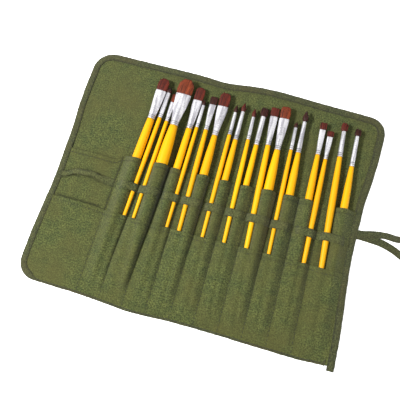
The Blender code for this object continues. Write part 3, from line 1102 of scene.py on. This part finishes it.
def build_hair(brush, materials):
    """The hair: fine ridges along it, spreading to a ragged tip that is flat, round or pointed."""
    shape, roundness, ragged, colour, spread = HAIR[brush.number]
    work = bmesh.new()
    start, wide, thick = brush.ferrule_top
    thick *= 0.82 if brush.flat else 0.95
    length = brush.tip - start
    belly = brush.hair[1] * spread
    rings, sides, steps = [], 56, 16
    flat_places = []
    for j in range(steps + 1):
        t = j / steps
        swell = math.sin(math.pi * min(1.0, t * 1.05))
        if shape == "point":
            width = mix(wide * 0.95, belly * 1.25, smooth(t / 0.4)) * (1 + 0.12 * swell)
            width *= 1 - t**2.2 * 0.93
            height = width
        else:
            width = mix(wide * 0.95, belly, smooth(t / 0.45)) * (1 + 0.05 * swell)
            height = mix(thick, thick * 0.22, t**1.3) * (1 + 0.12 * swell)
        ring = []
        for i in range(sides):
            a = 2 * math.pi * i / sides
            c, s = math.cos(a), math.sin(a)
            strand = noise.noise(Vector((c * 9, s * 4, brush.number * 3.1 + t * 0.6)))
            fine = noise.noise(Vector((c * 31, s * 11, brush.number * 5.3 + t * 0.9)))
            ridge = (0.16 * strand + 0.16 * fine) * (0.4 + t) * min(1.0, width / 2)
            across = squared(c, 0.85) * (width + ridge)
            rise = squared(s, 0.9) * (height + ridge)
            reach = 1 - roundness * abs(c) ** 2.6 * (shape != "point")
            reach += ragged * (strand * 1.1 + fine * 1.3) * t
            along = start - 0.8 + (length + 0.8) * t * min(reach, 1.0 + ragged * 0.4)
            ring.append(work.verts.new(brush.place(along, across, rise)))
            flat_places.append((across * 10 + height * s * 6, along * 10))
        rings.append(ring)
    loft(work, rings, closed=False)
    tip = work.verts.new(sum((v.co for v in rings[-1]), Vector()) / sides)
    base = work.verts.new(brush.place(start - 0.9, 0, 0))
    flat_places += [(0.0, brush.tip * 10), (0.0, start * 10)]
    for i in range(sides):
        j = (i + 1) % sides
        work.faces.new((rings[-1][i], rings[-1][j], tip))
        work.faces.new((rings[0][j], rings[0][i], base))
    thing = finish_mesh(work, f"brush_{brush.number:02d}_hair", materials[colour])
    flat_uvs(thing.data, flat_places)
    return thing


# ---------------------------------------------------------------- ties


def smooth_points(route, steps):
    """A Catmull-Rom curve through the route's own points."""
    padded = [route[0]] + route + [route[-1]]
    points = []
    for a, b, c, d in zip(padded, padded[1:], padded[2:], padded[3:]):
        for i in range(steps):
            t = i / steps
            place = []
            for p, q, r, s in zip(a, b, c, d):
                curve = 2 * q + (r - p) * t + (2 * p - 5 * q + 4 * r - s) * t**2
                place.append((curve + (3 * q - p - 3 * r + s) * t**3) / 2)
            points.append(tuple(place))
    return points + [route[-1]]


def tie_route(side):
    """The tail's middle line, by the CAD's route but lying on the table: x, y, z and tilt in degrees."""
    if side > 0:
        start = [(149, 4.6, 1.2, 4), (156, 5.4, 2.3, 10), (166, 8.0, 2.6, 34), (176, 9.4, 2.2, 46)]
        start += [(190, 9.6, 2.0, 40)]
    else:
        start = [(149, 3.4, 0.7, 0), (156, 3.2, 0.7, 0), (166, 2.8, 0.7, 0), (176, 1.6, 0.7, 4)]
        start += [(190, -3.0, 0.7, 0)]
    rest = [(204, 3 + side * 15)]
    for x, y in TAIL:
        away = TAIL_LEAN * max(0, y - 34) if side < 0 else 0
        rest.append((x + away, y * side))
    return start + [(x, y, 0.7, 0) for x, y in rest]


def build_tie(name, side, material):
    """A flat canvas strap, folded lengthwise and stitched."""
    line = smooth_points(tie_route(side), 12)
    half, thick = TIE_WIDTH / 2, TIE_THICK / 2
    section = [(-1.0, 0.0), (-0.96, 0.72), (-0.8, 1.0), (-0.62, 0.86), (0.0, 0.95), (0.62, 0.86)]
    section += [(0.8, 1.0), (0.96, 0.72), (1.0, 0.0), (0.96, -0.72), (0.8, -1.0), (0.0, -1.0)]
    section += [(-0.8, -1.0), (-0.96, -0.72)]
    work = bmesh.new()
    rings, places, wear, path = [], [], [], []
    travelled = 0.0
    for i, (x, y, z, tilt) in enumerate(line):
        a, b = line[max(i - 1, 0)], line[min(i + 1, len(line) - 1)]
        way = Vector((b[0] - a[0], b[1] - a[1], 0)).normalized()
        left = Vector((-way.y, way.x, 0))
        turn = math.radians(tilt)
        across = left * math.cos(turn) + Vector((0, 0, 1)) * math.sin(turn)
        up = Vector((0, 0, 1)) * math.cos(turn) - left * math.sin(turn)
        travelled += math.dist(a[:2], (x, y))
        waver = 1 + 0.05 * wobble(travelled, side * 5, 11, 4.0)
        rise = max(z, math.sin(abs(turn)) * half + thick + 0.05)
        path.append((x * MM, y * MM, rise * MM))
        ring = []
        for u, v in section:
            point = Vector((x, y, rise)) + across * (u * half * waver) + up * (v * thick)
            point.z = max(point.z, 0.05)
            ring.append(work.verts.new(point * MM))
            places.append((travelled, u * half + v))
            # Painted shade along the two grooves beside the strap's folded edges.
            wear.append(0.5 * near_line(abs(u) - 0.7, 0.12))
        rings.append(ring)
    loft(work, rings)
    thing = finish_mesh(work, name, material)
    flat_uvs(thing.data, places, wear)
    return thing


# ---------------------------------------------------------------- studio


def make_camera():
    data = bpy.data.cameras.new("camera")
    data.lens = LENS
    data.clip_start = 0.01
    camera = bpy.data.objects.new("camera", data)
    bpy.context.scene.collection.objects.link(camera)
    back = -Vector(CAMERA_AXIS).normalized()
    right = Vector(CAMERA_UP).cross(back).normalized()
    up = back.cross(right)
    turn = Matrix((right, up, back)).transposed().to_4x4()
    camera.matrix_world = Matrix.Translation(CAMERA_PLACE) @ turn
    bpy.context.scene.camera = camera


def make_floor():
    n = Nodes("pale_floor")
    colour = n.ramp(n.noise(n.coords(), 8.0, 3.0), [(0.3, grey(0.93)), (0.7, grey(0.96))])
    glow = {"Emission Color": (1.0, 1.0, 1.0, 1.0), "Emission Strength": 0.7}
    pale = n.settle({"Base Color": colour, "Roughness": 0.9, "Specular IOR Level": 0.0, **glow})
    work = bmesh.new()
    bmesh.ops.create_grid(work, x_segments=1, y_segments=1, size=3.0)
    floor = finish_mesh(work, "floor", pale)
    floor.location.z = -0.0002


def area_light(name, place, power, size):
    data = bpy.data.lights.new(name, "AREA")
    data.energy = power
    data.size = size
    light = bpy.data.objects.new(name, data)
    bpy.context.scene.collection.objects.link(light)
    light.location = place
    light.rotation_euler = (-Vector(place)).to_track_quat("-Z", "Y").to_euler()


def make_studio():
    """A soft white surround, a key light from the left and a faint fill from the right."""
    world = bpy.data.worlds.new("studio")
    world.use_nodes = True
    background = world.node_tree.nodes["Background"]
    background.inputs["Color"].default_value = (1.0, 1.0, 1.0, 1.0)
    background.inputs["Strength"].default_value = 0.48
    bpy.context.scene.world = world
    bpy.context.scene.view_settings.view_transform = "Standard"
    area_light("key", (-0.74, -0.2, 1.0), 24.5, 0.24)
    area_light("fill", (0.8, -0.3, 0.9), 5.0, 0.9)


# ---------------------------------------------------------------- everything


def main():
    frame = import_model()
    make_camera()
    order, folds = bodies_in_order(frame)
    brushes = [Brush(frame, j) for j in frame["joints"] if j["name"].startswith("brush_")]
    cloth = Cloth(Layout(brushes))

    canvas = canvas_material("canvas", (0.077, 0.093, 0.023))
    tape = canvas_material("binding_canvas", (0.063, 0.07, 0.025))
    webbing = canvas_material("band_canvas", (0.08, 0.091, 0.028), worn=0.35)
    thread = thread_material()
    strap = canvas_material("strap_canvas", (0.062, 0.07, 0.025))
    lacquer = lacquer_material()
    metal = metal_material()
    hair = {
        "red": hair_material("hair_red", (0.016, 0.003, 0.002), (0.115, 0.016, 0.007)),
        "dark": hair_material("hair_dark", (0.008, 0.003, 0.002), (0.05, 0.011, 0.006)),
        "orange": hair_material("hair_orange", (0.03, 0.005, 0.002), (0.2, 0.037, 0.01)),
    }

    trims = {}
    for build in (build_binding(tape), build_stitches(cloth, thread)):
        for piece in split_at_folds(build, folds, two_sided=False):
            trims.setdefault(int(piece.name[-2:]), []).append(piece)
    panels = split_at_folds(build_panel(cloth, canvas), folds)
    upper = build_layer(cloth, "upper_pockets", cloth.upper, UPPER_MOUTH, 62, canvas, 1.0)
    uppers = split_at_folds(upper, folds)
    lower = build_layer(cloth, "lower_pockets", cloth.lower, LOWER_MOUTH, 34, canvas, 0.3)
    lowers = split_at_folds(lower, folds)
    bands = split_at_folds(build_band(cloth, webbing), folds)
    stand_in(panels, uppers, lowers, bands)

    for brush in brushes:
        handle = build_handle(brush, lacquer)
        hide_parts(brush.body)
        for piece in (handle, build_ferrule(brush, metal), build_hair(brush, hair)):
            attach(piece, brush.body)
    for name, side in (("upper", 1), ("lower", -1)):
        tie = build_tie(f"strap_{name}", side, strap)
        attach(tie, "tie_end")
        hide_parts(f"tie_{name}")

    make_floor()
    make_studio()


main()
